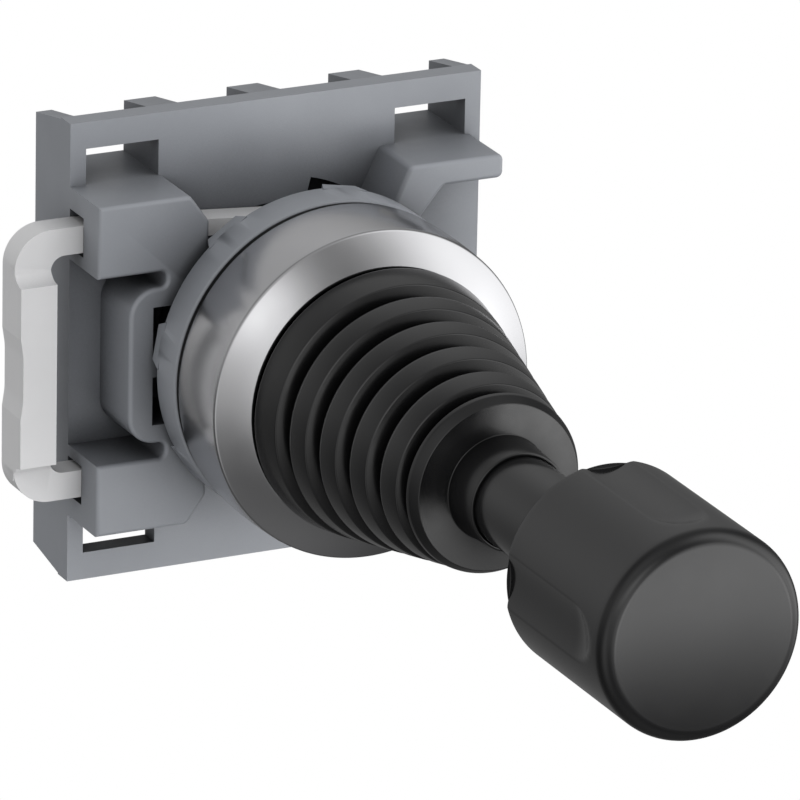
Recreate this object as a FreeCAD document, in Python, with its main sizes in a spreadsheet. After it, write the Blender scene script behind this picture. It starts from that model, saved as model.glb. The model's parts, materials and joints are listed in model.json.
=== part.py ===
import FreeCAD, Part
import math
import operator
import os

import Sketcher

# Industrial joystick for a panel hole, in millimetres.
# The lever points forward along -Y, +Z is up, and the origin is the point where the
# lever's axis crosses the front of the panel. That point is also the lever's pivot.

SIZES = {
    # running fits and working gaps
    "fit_gap": 0.05,
    "slide_gap": 0.15,
    "clear_gap": 0.3,
    # front ring and what it holds
    "bezel_radius": 15.0,
    "bezel_side": 7.6,
    "bezel_length": 9.1,
    "bezel_wall": 1.3,
    "bezel_cone": 3.0,
    "bezel_lip": 0.5,
    "bezel_swell": 0.12,
    "gasket_thick": 0.6,
    "clamp_wall": 2.1,
    # housing with its threaded neck
    "neck_radius": 11.0,
    "neck_bore": 9.3,
    "neck_past_plate": 1.8,
    "flange_thick": 2.4,
    "shoulder_step": 0.5,
    "circlip_thick": 0.6,
    "circlip_seat": 0.5,
    "circlip_width": 0.95,
    "key_radius": 13.5,
    "key_wide": 18.4,
    "key_turn": 66.4,
    "key_sunk": 0.7,
    # pivot
    "ball_radius": 2.4,
    "gimbal_wall": 1.45,
    "gimbal_length": 2.6,
    "pin_radius": 0.8,
    "ear_thick": 1.0,
    "ear_half": 1.5,
    "carrier_front": 4.0,
    "carrier_thick": 1.5,
    # moving bell and its wear plate
    "bell_cavity": 5.95,
    "bell_post": 1.4,
    "bell_boss": 4.0,
    "bell_boss_end": 12.4,
    "bell_floor": 1.4,
    "swash_thick": 1.0,
    # plungers, their springs and their guide
    "tip_radius": 1.0,
    "tail_radius": 0.7,
    "collar_radius": 1.5,
    "collar_thick": 0.9,
    "plunger_travel": 1.9,
    "plunger_reach": 1.2,
    "guide_thick": 1.8,
    "guide_cap": 1.0,
    "wire_radius": 0.2,
    "spring_turns": 4,
    # lever and knob
    "rod_radius": 2.5,
    "sleeve_radius": 4.1,
    "knob_radius": 9.2,
    "knob_start": 51.8,
    "knob_length": 18.2,
    "knob_round": 1.3,
    "knob_socket": 0.9,
    "knob_edge": 0.3,
    "knob_dome": 0.35,
    "insert_radius": 4.0,
    "insert_length": 11.0,
    "flute_radius": 8.0,
    "flute_deep": 0.7,
    "flute_stop": 6.0,
    # bellows
    "boot_skin": 0.9,
    "boot_play": 0.35,
    "boot_base_end": 9.5,
    "boot_first": 11.6,
    "boot_pitch": 4.15,
    "boot_over": 0.4,
    "boot_last": 8.51,
    "boot_deep": 1.9,
    "boot_land": 2.5,
    "boot_groove": 0.7,
    "boot_wall": 0.6,
    "boot_round": 0.6,
    "boot_edge": 0.25,
    "boot_top_radius": 7.95,
    "boot_top": 31.5,
    "boot_top_land": 0.45,
    "boot_face_edge": 7.1,
    "boot_face_inner": 5.0,
    "boot_face_rise": 1.0,
    "boot_collar": 4.45,
    "boot_collar_end": 36.2,
    # fixing nut
    "nut_thick": 3.7,
    "nut_collar": 1.4,
    "nut_round": 0.3,
    "tooth_height": 1.0,
    "tooth_base": 4.3,
    "tooth_tip": 3.2,
    "tooth_turn": 10.1,
    # holder
    "plate_width": 39.6,
    "plate_top": 20.95,
    "plate_bottom": 21.5,
    "plate_front": 12.4,
    "plate_thick": 2.0,
    "rib_depth": 7.45,
    "rib_slope": 1.15,
    "rib_flat": 1.3,
    "side_wall": 1.5,
    "rib_thick": 3.0,
    "rib_bottom": 14.5,
    "shelf_top": 15.2,
    "shelf_thick": 1.7,
    "window_top": 18.5,
    "window_bottom": 19.0,
    "boss_height": 6.3,
    "boss_bottom": 8.6,
    "boss_reach": 8.7,
    "boss_waist": 9.3,
    "boss_notch": 13.3,
    "boss_side": 12.7,
    "boss_round": 0.6,
    "boss_edge": 0.4,
    "guard_left": 16.8,
    "guard_wall": 2.2,
    "guard_half": 7.2,
    "guard_round": 2.6,
    "pocket_half": 5.45,
    "web_half": 1.0,
    "slot_under": 0.4,
    "slot_over": 0.7,
    "bend_left": 10.0,
    "bend_right": 19.1,
    "bend_wall": 2.2,
    "bend_drop": 3.3,
    "bend_foot": 2.0,
    # locking fork
    "arm_bite": 0.95,
    "arm_height": 2.5,
    "arm_depth": 2.65,
    "arm_end": 2.0,
    "arm_tip": 0.75,
    "arm_tip_round": 0.3,
    "bar_outer": 26.2,
    "bar_wide": 3.4,
    "bar_forward": 1.45,
    "bar_up": 8.0,
    "bar_down": 8.6,
    "fork_round": 3.4,
    "fork_inside": 1.3,
    "finger_dent": 0.24,
    "finger_up": 1.7,
    "finger_down": 2.4,
    "finger_slope": 1.6,
    "finger_round": 5.0,
}
FOLDS = 5
TEETH = 8
FLUTES = 4
QUARTER_TURN = FreeCAD.Rotation(FreeCAD.Vector(1, 0, 0), 90)
SIDES = {"right": 0, "top": 90, "left": 180, "bottom": 270}

OPERATIONS = {
    "+": operator.add,
    "-": operator.sub,
    "*": operator.mul,
    "/": operator.truediv,
}


class Size:
    """A number of the model: its value now, and the sheet formula that gives it."""

    def __init__(self, value, formula):
        self.value = value
        self.formula = formula

    def __add__(self, other):
        return combine(self, "+", other)

    def __radd__(self, other):
        return combine(other, "+", self)

    def __sub__(self, other):
        return combine(self, "-", other)

    def __rsub__(self, other):
        return combine(other, "-", self)

    def __mul__(self, other):
        return combine(self, "*", other)

    def __rmul__(self, other):
        return combine(other, "*", self)

    def __truediv__(self, other):
        return combine(self, "/", other)

    def __neg__(self):
        return combine(0, "-", self)


def as_size(number):
    """Take a plain number as a size with a constant formula."""
    return number if isinstance(number, Size) else Size(float(number), repr(float(number)))


def combine(left, sign, right):
    """Join two sizes with one arithmetic sign."""
    left = as_size(left)
    right = as_size(right)
    value = OPERATIONS[sign](left.value, right.value)
    return Size(value, "(%s %s %s)" % (left.formula, sign, right.formula))


def sine(angle):
    angle = as_size(angle)
    return Size(math.sin(math.radians(angle.value)), "sin(%s)" % angle.formula)


def cosine(angle):
    angle = as_size(angle)
    return Size(math.cos(math.radians(angle.value)), "cos(%s)" % angle.formula)


def root(number):
    number = as_size(number)
    return Size(math.sqrt(number.value), "sqrt(%s)" % number.formula)


doc = FreeCAD.newDocument("joystick")
sheet = doc.addObject("Spreadsheet::Sheet", "Sizes")
dim = {}
for row, (name, number) in enumerate(SIZES.items(), start=1):
    cell = "A%d" % row
    sheet.set(cell, str(number))
    sheet.setAlias(cell, name)
    dim[name] = Size(float(number), "Sizes.%s" % name)
doc.recompute()

d = type("Dimensions", (), dim)
parts = []


def bind(thing, prop, size):
    """Tie one property to the sheet."""
    thing.setExpression(prop, as_size(size).formula)


# Sketches and features


def new_body(label):
    body = doc.addObject("PartDesign::Body", label)
    body.Label = label
    parts.append(body)
    return body


def sketch_on(body, role, offset=0):
    """Add a sketch on one of the body's own origin planes, moved along its normal."""
    plane = [f for f in body.Origin.OriginFeatures if f.Role == role][0]
    sketch = body.newObject("Sketcher::SketchObject", body.Label + "_sketch")
    sketch.AttachmentSupport = [(plane, "")]
    sketch.MapMode = "FlatFace"
    bind(sketch, "AttachmentOffset.Base.z", offset)
    return sketch


class Corner:
    """A corner of an outline.

    rounding is the fillet radius there. bow is the radius of the arc that runs from
    here to the next corner, positive where it turns left and negative where it turns right.
    """

    def __init__(self, across, along, rounding=None, bow=None):
        self.across = as_size(across)
        self.along = as_size(along)
        self.rounding = rounding
        self.bow = bow

    @property
    def point(self):
        return FreeCAD.Vector(self.across.value, self.along.value, 0)


def pin_point(sketch, geometry, end, corner):
    """Fix one point of the sketch at a corner's two distances from the origin."""
    for kind, size in (("DistanceX", corner.across), ("DistanceY", corner.along)):
        index = sketch.addConstraint(Sketcher.Constraint(kind, -1, 1, geometry, end, size.value))
        sketch.setExpression("Constraints[%d]" % index, size.formula)


def pin_radius(sketch, geometry, size):
    size = as_size(size)
    index = sketch.addConstraint(Sketcher.Constraint("Radius", geometry, size.value))
    sketch.setExpression("Constraints[%d]" % index, size.formula)


def arc_between(start, end, radius):
    """Return the shorter arc from start to end, turning left where radius is positive."""
    chord = end - start
    middle = (start + end) * 0.5
    left = FreeCAD.Vector(-chord.y, chord.x, 0).normalize()
    reach = math.sqrt(max(radius**2 - (chord.Length / 2) ** 2, 0))
    centre = middle + left * math.copysign(reach, radius)
    first = math.atan2(start.y - centre.y, start.x - centre.x)
    last = math.atan2(end.y - centre.y, end.x - centre.x)
    if radius < 0:
        first, last = last, first
    circle = Part.Circle(centre, FreeCAD.Vector(0, 0, 1), abs(radius))
    return Part.ArcOfCircle(circle, first, last)


def trimmed_ends(corners):
    """Return, for each corner, the points where its fillet starts and ends."""
    ends = []
    count = len(corners)
    for index, corner in enumerate(corners):
        here = corner.point
        if corner.rounding is None:
            ends.append((here, here))
            continue
        back = (corners[index - 1].point - here).normalize()
        ahead = (corners[(index + 1) % count].point - here).normalize()
        half = back.getAngle(ahead) / 2
        run = as_size(corner.rounding).value / math.tan(half)
        ends.append((here + back * run, here + ahead * run))
    return ends


def draw(sketch, corners):
    """Draw a closed outline of straight runs, fillets and arcs, tied to the sheet."""
    count = len(corners)
    ends = trimmed_ends(corners)
    runs = []
    for index, corner in enumerate(corners):
        start = ends[index][1]
        stop = ends[(index + 1) % count][0]
        if corner.bow is None:
            number = sketch.addGeometry(Part.LineSegment(start, stop))
            runs.append((number, 1, 2))
        else:
            radius = as_size(corner.bow).value
            number = sketch.addGeometry(arc_between(start, stop, radius))
            runs.append((number, 1, 2) if radius > 0 else (number, 2, 1))
    for index, corner in enumerate(corners):
        before = runs[index - 1]
        after = runs[index]
        if corner.rounding is None:
            sketch.addConstraint(
                Sketcher.Constraint("Coincident", before[0], before[2], after[0], after[1])
            )
            pin_point(sketch, after[0], after[1], corner)
            continue
        start, stop = ends[index]
        turn = (start - corner.point).cross(stop - corner.point).z
        radius = as_size(corner.rounding).value
        arc = sketch.addGeometry(arc_between(start, stop, -math.copysign(radius, turn)))
        first, last = (1, 2) if turn < 0 else (2, 1)
        sketch.addConstraint(Sketcher.Constraint("Tangent", before[0], before[2], arc, first))
        sketch.addConstraint(Sketcher.Constraint("Tangent", arc, last, after[0], after[1]))
        pin_radius(sketch, arc, corner.rounding)
        vertex = sketch.addGeometry(Part.Point(corner.point), True)
        sketch.addConstraint(Sketcher.Constraint("PointOnObject", vertex, 1, before[0]))
        sketch.addConstraint(Sketcher.Constraint("PointOnObject", vertex, 1, after[0]))
        pin_point(sketch, vertex, 1, corner)
    for index, corner in enumerate(corners):
        if corner.bow is not None:
            pin_radius(sketch, runs[index][0], abs_size(corner.bow))


def abs_size(size):
    size = as_size(size)
    return Size(abs(size.value), "abs(%s)" % size.formula)


def draw_circle(sketch, across, along, radius):
    centre = Corner(across, along)
    normal = FreeCAD.Vector(0, 0, 1)
    number = sketch.addGeometry(Part.Circle(centre.point, normal, as_size(radius).value))
    pin_point(sketch, number, 3, centre)
    pin_radius(sketch, number, radius)


def rectangle(left, right, low, high):
    return [Corner(left, low), Corner(right, low), Corner(right, high), Corner(left, high)]


def ring_section(inner, outer, front, back):
    """Section of a plain ring, as (radius, y) corners."""
    return rectangle(inner, outer, front, back)


def revolve(body, corners):
    """Turn a (radius, y) outline about the lever's axis."""
    sketch = sketch_on(body, "XY_Plane")
    draw(sketch, corners)
    turn = body.newObject("PartDesign::Revolution", body.Label + "_turned")
    turn.Profile = sketch
    turn.ReferenceAxis = (sketch, ["V_Axis"])
    turn.Angle = 360
    body.Tip = turn
    return turn


def pad(body, role, offset, length, *outlines, name="padded"):
    """Extrude outlines along the plane's normal from offset."""
    sketch = sketch_on(body, role, offset)
    for corners in outlines:
        draw(sketch, corners)
    feature = body.newObject("PartDesign::Pad", body.Label + "_" + name)
    feature.Profile = sketch
    bind(feature, "Length", length)
    body.Tip = feature
    return feature


def pad_back(body, front, back, *outlines, name="padded"):
    """Extrude (x, z) outlines between two depths, front and back, along Y."""
    return pad(body, "XZ_Plane", -back, back - front, *outlines, name=name)


def check_cut(body, feature, before):
    doc.recompute()
    if not body.Shape.Volume < before - 1e-6:
        raise RuntimeError("%s cuts nothing" % feature.Label)


def pocket(body, role, offset, length, *outlines, circles=(), reverse=False):
    """Cut outlines or circles against the plane's normal, and make sure something went."""
    doc.recompute()
    before = body.Shape.Volume
    sketch = sketch_on(body, role, offset)
    for corners in outlines:
        draw(sketch, corners)
    for across, along, radius in circles:
        draw_circle(sketch, across, along, radius)
    feature = body.newObject("PartDesign::Pocket", body.Label + "_cut")
    feature.Profile = sketch
    feature.Reversed = reverse
    bind(feature, "Length", length)
    body.Tip = feature
    check_cut(body, feature, before)
    return feature


def pocket_back(body, front, back, *outlines, circles=()):
    """Cut (x, z) outlines between two depths, front and back, along Y."""
    return pocket(body, "XZ_Plane", -front, back - front, *outlines, circles=circles)


def polar(body, feature, count):
    """Repeat a feature round the lever's axis."""
    doc.recompute()
    pattern = body.newObject("PartDesign::PolarPattern", body.Label + "_pattern")
    pattern.Originals = [feature]
    axis = [f for f in body.Origin.OriginFeatures if f.Role == "Y_Axis"][0]
    pattern.Axis = (axis, [""])
    pattern.Angle = 360
    pattern.Occurrences = count
    body.Tip = pattern
    return pattern


def soften(body, radius, depth):
    """Round every edge of the body that lies in the plane at one depth."""
    doc.recompute()
    place = as_size(depth).value
    solid = body.Tip
    names = []
    for number, edge in enumerate(solid.Shape.Edges, start=1):
        if all(abs(vertex.Y - place) < 1e-4 for vertex in edge.Vertexes):
            names.append("Edge%d" % number)
    feature = body.newObject("PartDesign::Fillet", body.Label + "_softened")
    feature.Base = (solid, names)
    bind(feature, "Radius", radius)
    body.Tip = feature
    return feature


def flip(bow):
    """An arc turns the other way in a mirrored outline."""
    return None if bow is None else -as_size(bow)


def mirrored(corners):
    """The same outline on the other side of the Z axis line."""
    return [Corner(-c.across, c.along, c.rounding, flip(c.bow)) for c in corners]


def below(corners):
    """The same outline below the X axis line."""
    return [Corner(c.across, -c.along, c.rounding, flip(c.bow)) for c in corners]


def around(circle_radius, turn):
    """Centre of a piece on a circle round the lever's axis, at an angle up from +X."""
    return circle_radius * cosine(turn), circle_radius * sine(turn)


# Places that several pieces share

BEZEL_BORE = d.bezel_radius - d.bezel_wall
BEZEL_OPENING = d.bezel_radius - d.bezel_cone
FLANGE_RADIUS = BEZEL_BORE - d.fit_gap
NUT_FRONT = d.gasket_thick
NUT_BORE = d.neck_radius + d.fit_gap
NECK_LENGTH = d.plate_front + d.neck_past_plate
CLAMP_BACK = d.flange_thick + d.boot_skin + d.clear_gap
CLAMP_RADIUS = BEZEL_BORE - d.fit_gap
CLAMP_INNER = CLAMP_RADIUS - d.clamp_wall
BOOT_BASE = CLAMP_INNER - d.boot_play
BOOT_CREST = CLAMP_INNER + d.boot_over
BOOT_DROP = (BOOT_CREST - d.boot_last) / (FOLDS - 1)
BELL_RADIUS = d.neck_bore - d.clear_gap
GIMBAL_HALF = d.gimbal_length / 2
GIMBAL_BORE = d.ball_radius + d.clear_gap
GIMBAL_RADIUS = GIMBAL_BORE + d.gimbal_wall
EAR_INNER = GIMBAL_RADIUS + d.slide_gap
EAR_OUTER = EAR_INNER + d.ear_thick
CARRIER_BACK = d.carrier_front + d.carrier_thick
REAR_BORE = d.neck_bore - d.shoulder_step
PLUNGER_CIRCLE = REAR_BORE - d.collar_radius - d.clear_gap
CAP_BACK = NECK_LENGTH + d.guide_cap
COLLAR_FRONT = CARRIER_BACK + d.plunger_travel
COLLAR_BACK = COLLAR_FRONT + d.collar_thick
GUIDE_FRONT = NECK_LENGTH - d.guide_thick
ROD_START = d.bell_cavity + d.bell_floor
SLEEVE_END = d.knob_start + d.knob_socket
INSERT_START = SLEEVE_END
KNOB_END = d.knob_start + d.knob_length
INSERT_END = INSERT_START + d.insert_length
HOLE_RADIUS = d.neck_radius + d.clear_gap
PLATE_BACK = d.plate_front + d.plate_thick
RIB_BACK = d.plate_front + d.rib_depth
HALF_WIDTH = d.plate_width / 2
BAY = (d.plate_width - d.side_wall * 2 - d.rib_thick * 3) / 4
BAY_OUTER = HALF_WIDTH - d.side_wall
BAY_INNER = BAY_OUTER - BAY
BOSS_FRONT = d.plate_front - d.boss_height
ARM_BACK = d.plate_front - d.slide_gap
ARM_FRONT = ARM_BACK - d.arm_depth
ARM_INNER = d.neck_radius - d.arm_bite
ARM_OUTER = ARM_INNER + d.arm_height
SLOT_FRONT = ARM_FRONT - d.slide_gap
SLOT_INNER = ARM_INNER - d.slot_under
SLOT_OUTER = ARM_OUTER + d.slot_over
BAR_FRONT = ARM_FRONT - d.bar_forward
BAR_INNER = d.bar_outer - d.bar_wide


# Front ring, its gasket and the ring that clamps the bellows


def make_bezel():
    body = new_body("bezel")
    chord = d.bezel_side
    bow = (chord * chord / 4 + d.bezel_swell * d.bezel_swell) / (d.bezel_swell * 2)
    lip = BEZEL_OPENING + d.bezel_lip
    corners = [
        Corner(BEZEL_BORE, 0),
        Corner(d.bezel_radius, 0, bow=-bow),
        Corner(d.bezel_radius, -d.bezel_side),
        Corner(BEZEL_OPENING, -d.bezel_length),
        Corner(BEZEL_OPENING, -d.bezel_length + d.bezel_lip),
        Corner(lip, -d.bezel_length + d.bezel_lip * 2),
        Corner(BEZEL_BORE, -d.bezel_side + d.bezel_lip),
    ]
    revolve(body, corners)


def make_gasket():
    body = new_body("gasket")
    outer = d.bezel_radius - d.bezel_swell
    revolve(body, ring_section(NUT_BORE, outer, 0, d.gasket_thick))


def make_clamp_ring():
    body = new_body("clamp_ring")
    front = -d.bezel_length + d.bezel_lip * 2 + d.fit_gap
    shoulder = -d.bezel_side + d.bezel_lip + d.fit_gap
    corners = [
        Corner(CLAMP_INNER, -CLAMP_BACK),
        Corner(CLAMP_RADIUS, -CLAMP_BACK),
        Corner(CLAMP_RADIUS, shoulder),
        Corner(BEZEL_OPENING + d.bezel_lip, front),
        Corner(CLAMP_INNER, front),
    ]
    revolve(body, corners)


# Housing: flange behind the front ring, threaded neck and fork grooves


def make_housing():
    body = new_body("housing")
    groove_back = d.carrier_front - d.fit_gap
    groove_front = groove_back - d.circlip_thick - d.fit_gap * 2
    groove_deep = d.neck_bore + d.circlip_seat
    corners = [
        Corner(d.neck_bore, -d.flange_thick),
        Corner(FLANGE_RADIUS, -d.flange_thick),
        Corner(FLANGE_RADIUS, 0),
        Corner(d.neck_radius, 0),
        Corner(d.neck_radius, NECK_LENGTH),
        Corner(REAR_BORE, NECK_LENGTH),
        Corner(REAR_BORE, CARRIER_BACK),
        Corner(d.neck_bore, CARRIER_BACK),
        Corner(d.neck_bore, groove_back),
        Corner(groove_deep, groove_back),
        Corner(groove_deep, groove_front),
        Corner(d.neck_bore, groove_front),
    ]
    revolve(body, corners)
    flat = ARM_INNER - d.slide_gap
    reach = d.neck_radius + d.clear_gap
    channel = rectangle(-reach, reach, flat, reach)
    groove_end = ARM_BACK + d.slide_gap
    pocket_back(body, SLOT_FRONT, groove_end, channel, below(channel))


def make_circlip():
    body = new_body("retaining_ring")
    back = d.carrier_front - d.fit_gap
    outer = d.neck_bore + d.circlip_seat - d.fit_gap
    inner = outer - d.circlip_width
    revolve(body, ring_section(inner, outer, back - d.circlip_thick, back))
    gap = rectangle(inner - d.clear_gap, outer + d.clear_gap, -d.ear_half, d.ear_half)
    pocket_back(body, 0, back, gap)


# Pivot: carrier with two ears, gimbal ring and pins


def ear_outline():
    """One ear seen along Z, as (x, y): straight sides and a round front end."""
    return [
        Corner(-d.ear_half, CARRIER_BACK),
        Corner(-d.ear_half, 0, bow=d.ear_half),
        Corner(0, -d.ear_half, bow=d.ear_half),
        Corner(d.ear_half, 0),
        Corner(d.ear_half, CARRIER_BACK),
    ]


def make_carrier():
    body = new_body("pivot_carrier")
    disc = d.neck_bore - d.fit_gap
    revolve(body, ring_section(d.ball_radius, disc, d.carrier_front, CARRIER_BACK))
    pad(body, "XY_Plane", EAR_INNER, d.ear_thick, ear_outline(), name="ear")
    pad(body, "XY_Plane", -EAR_OUTER, d.ear_thick, ear_outline(), name="ear")
    reach = EAR_OUTER + d.clear_gap
    hole = [(0, 0, d.pin_radius)]
    pocket(body, "XY_Plane", reach, reach * 2, circles=hole)
    tip_hole = d.tip_radius + d.fit_gap
    holes = [around(PLUNGER_CIRCLE, turn) + (tip_hole,) for turn in SIDES.values()]
    pocket_back(body, 0, CARRIER_BACK, circles=holes)


def make_gimbal_ring():
    body = new_body("gimbal_ring")
    face = root(GIMBAL_RADIUS * GIMBAL_RADIUS - GIMBAL_HALF * GIMBAL_HALF)
    corners = [
        Corner(GIMBAL_BORE, -GIMBAL_HALF),
        Corner(face, -GIMBAL_HALF, bow=GIMBAL_RADIUS),
        Corner(face, GIMBAL_HALF),
        Corner(GIMBAL_BORE, GIMBAL_HALF),
    ]
    revolve(body, corners)
    reach = GIMBAL_RADIUS + d.clear_gap
    bore = [(0, 0, d.pin_radius + d.fit_gap)]
    pocket(body, "XY_Plane", reach, reach * 2, circles=bore)
    pocket(body, "YZ_Plane", reach, reach * 2, circles=bore)


def cylinder(label, radius, height, axis, base):
    """Make a round bar along an axis, from the given starting point."""
    bar = doc.addObject("Part::Cylinder", label)
    bind(bar, "Radius", radius)
    bind(bar, "Height", height)
    bar.Placement = FreeCAD.Placement(FreeCAD.Vector(), FreeCAD.Rotation(FreeCAD.Vector(0, 0, 1), axis))
    for letter, size in zip("xyz", base):
        bind(bar, "Placement.Base.%s" % letter, size)
    return bar


def make_gimbal_pins():
    start = d.ball_radius + d.clear_gap * 1.5
    length = EAR_OUTER - start
    up = FreeCAD.Vector(0, 0, 1)
    upper = cylinder("upper_pin", d.pin_radius, length, up, (0, 0, start))
    lower = cylinder("lower_pin", d.pin_radius, length, up, (0, 0, -EAR_OUTER))
    pins = doc.addObject("Part::MultiFuse", "gimbal_pins")
    pins.Shapes = [upper, lower]
    pins.Label = "gimbal_pins"
    parts.append(pins)


def make_cross_pin():
    reach = GIMBAL_RADIUS - d.slide_gap
    pin = cylinder("cross_pin", d.pin_radius, reach * 2, FreeCAD.Vector(1, 0, 0), (-reach, 0, 0))
    parts.append(pin)


# Lever: bell, wear plate, rod, sleeve, knob and its threaded insert


def make_bell():
    body = new_body("actuator_bell")
    rim = root(BELL_RADIUS * BELL_RADIUS - d.swash_thick * d.swash_thick)
    rim_inner = root(d.bell_cavity * d.bell_cavity - d.swash_thick * d.swash_thick)
    neck = root(BELL_RADIUS * BELL_RADIUS - d.bell_boss * d.bell_boss)
    dome = root(d.bell_cavity * d.bell_cavity - d.bell_post * d.bell_post)
    ball = root(d.ball_radius * d.ball_radius - d.bell_post * d.bell_post)
    corners = [
        Corner(0, -ROD_START),
        Corner(0, d.ball_radius, bow=-d.ball_radius),
        Corner(d.bell_post, -ball),
        Corner(d.bell_post, -dome, bow=d.bell_cavity),
        Corner(rim_inner, -d.swash_thick),
        Corner(rim, -d.swash_thick, bow=-BELL_RADIUS),
        Corner(d.bell_boss, -neck),
        Corner(d.bell_boss, -d.bell_boss_end),
        Corner(d.rod_radius, -d.bell_boss_end),
        Corner(d.rod_radius, -ROD_START),
    ]
    revolve(body, corners)
    reach = d.ball_radius + d.clear_gap
    pocket(body, "YZ_Plane", reach, reach * 2, circles=[(0, 0, d.pin_radius)])


def make_wear_plate():
    body = new_body("swash_plate")
    outer = root(BELL_RADIUS * BELL_RADIUS - d.swash_thick * d.swash_thick)
    revolve(body, ring_section(d.bell_cavity, outer, -d.swash_thick, 0))


def make_rod():
    body = new_body("lever_rod")
    chamfer = d.slide_gap * 3
    corners = [
        Corner(0, -INSERT_END),
        Corner(d.rod_radius - chamfer, -INSERT_END),
        Corner(d.rod_radius, -INSERT_END + chamfer),
        Corner(d.rod_radius, -ROD_START),
        Corner(0, -ROD_START),
    ]
    revolve(body, corners)


def make_sleeve():
    body = new_body("stem_sleeve")
    revolve(body, ring_section(d.rod_radius, d.sleeve_radius, -SLEEVE_END, -d.bell_boss_end))


def make_knob():
    body = new_body("knob")
    socket = d.sleeve_radius + d.fit_gap
    bore_end = INSERT_END + d.clear_gap
    rim = d.knob_radius - d.knob_round
    face = KNOB_END - d.knob_dome
    dome = (rim * rim + d.knob_dome * d.knob_dome) / (d.knob_dome * 2)
    corners = [
        Corner(0, -bore_end),
        Corner(d.insert_radius, -bore_end),
        Corner(d.insert_radius, -INSERT_START),
        Corner(socket, -INSERT_START),
        Corner(socket, -d.knob_start),
        Corner(d.knob_radius, -d.knob_start, rounding=d.knob_edge),
        Corner(d.knob_radius, -face + d.knob_round, bow=-d.knob_round),
        Corner(rim, -face, bow=-dome),
        Corner(0, -KNOB_END),
    ]
    revolve(body, corners)
    doc.recompute()
    before = body.Shape.Volume
    sketch = sketch_on(body, "XY_Plane")
    centre = d.knob_radius + d.flute_radius - d.flute_deep
    near = centre - d.flute_radius
    start = -d.knob_start + d.clear_gap
    stop = -KNOB_END + d.flute_stop
    flute = [
        Corner(centre, start),
        Corner(near, start),
        Corner(near, stop, bow=d.flute_radius),
        Corner(centre, stop - d.flute_radius),
    ]
    draw(sketch, flute)
    first = sketch.addGeometry(Part.LineSegment(flute[0].point, flute[3].point), True)
    sketch.addConstraint(Sketcher.Constraint("Vertical", first))
    pin_point(sketch, first, 1, flute[0])
    sketch.addConstraint(Sketcher.Constraint("PointOnObject", first, 2, 2))
    groove = body.newObject("PartDesign::Groove", "knob_flute")
    groove.Profile = sketch
    groove.ReferenceAxis = (sketch, ["Axis0"])
    groove.Angle = 360
    body.Tip = groove
    check_cut(body, groove, before)
    polar(body, groove, FLUTES)


def make_insert():
    body = new_body("knob_insert")
    revolve(body, ring_section(d.rod_radius, d.insert_radius, -INSERT_END, -INSERT_START))


# Bellows


def land(index, half, skin=0):
    """Both ends of one fold's land, which tapers towards the front, a skin below its outside."""
    ahead = d.boot_first + d.boot_pitch * index
    radius = BOOT_CREST - BOOT_DROP * index - skin
    taper = BOOT_DROP / d.boot_pitch * half
    return (radius + taper, -ahead + half), (radius - taper, -ahead - half)


def groove(index, half, skin=0):
    """Both ends of the groove's floor in front of one fold."""
    ahead = d.boot_first + d.boot_pitch * (index + 0.5)
    radius = BOOT_CREST - BOOT_DROP * (index + 0.5) - d.boot_deep - skin
    return (radius, -ahead + half), (radius, -ahead - half)


def make_bellows():
    body = new_body("bellows")
    flange = BEZEL_BORE - d.clear_gap
    back = d.flange_thick
    outside = [
        Corner(flange, -back),
        Corner(flange, -back - d.boot_skin),
        Corner(BOOT_BASE, -back - d.boot_skin),
        Corner(BOOT_BASE, -d.boot_base_end),
    ]
    inside = [Corner(BOOT_BASE - d.boot_skin, -back), Corner(BOOT_BASE - d.boot_skin, -d.boot_base_end)]
    bore = d.sleeve_radius + d.fit_gap
    face = d.boot_top + d.boot_face_rise
    inner_end = face - d.boot_skin * 1.5
    for index in range(FOLDS):
        rear, front = land(index, d.boot_land / 2)
        outside.append(Corner(*rear, rounding=d.boot_round))
        outside.append(Corner(*front, rounding=d.boot_edge))
        outside += [Corner(*end) for end in groove(index, d.boot_groove / 2)]
        inside += [Corner(*end) for end in land(index, d.boot_land / 2 - d.boot_wall, d.boot_skin)]
        inside += [Corner(*end) for end in groove(index, d.boot_groove / 2 + d.boot_wall, d.boot_skin)]
    inside[-1] = Corner(inside[-1].across, -inner_end)
    outside += [
        Corner(d.boot_top_radius, -d.boot_top + d.boot_top_land),
        Corner(d.boot_top_radius, -d.boot_top),
        Corner(d.boot_face_edge, -face + d.boot_face_rise / 2),
        Corner(d.boot_face_inner, -face),
        Corner(d.boot_collar, -d.boot_collar_end),
        Corner(bore, -d.boot_collar_end),
    ]
    inside.append(Corner(bore, -inner_end))
    revolve(body, outside + inside[::-1])


# Plungers, springs and their guide


def make_plunger(side, turn):
    body = new_body("plunger_" + side)
    tail = CAP_BACK + d.plunger_reach
    corners = [
        Corner(0, d.clear_gap, bow=d.tip_radius),
        Corner(d.tip_radius, d.clear_gap + d.tip_radius),
        Corner(d.tip_radius, COLLAR_FRONT),
        Corner(d.collar_radius, COLLAR_FRONT),
        Corner(d.collar_radius, COLLAR_BACK),
        Corner(d.tail_radius, COLLAR_BACK),
        Corner(d.tail_radius, tail),
        Corner(0, tail),
    ]
    revolve(body, corners)
    place_on_circle(body, turn)


def place_on_circle(body, turn):
    across, up = around(PLUNGER_CIRCLE, turn)
    bind(body, "Placement.Base.x", across)
    bind(body, "Placement.Base.z", up)


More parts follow.
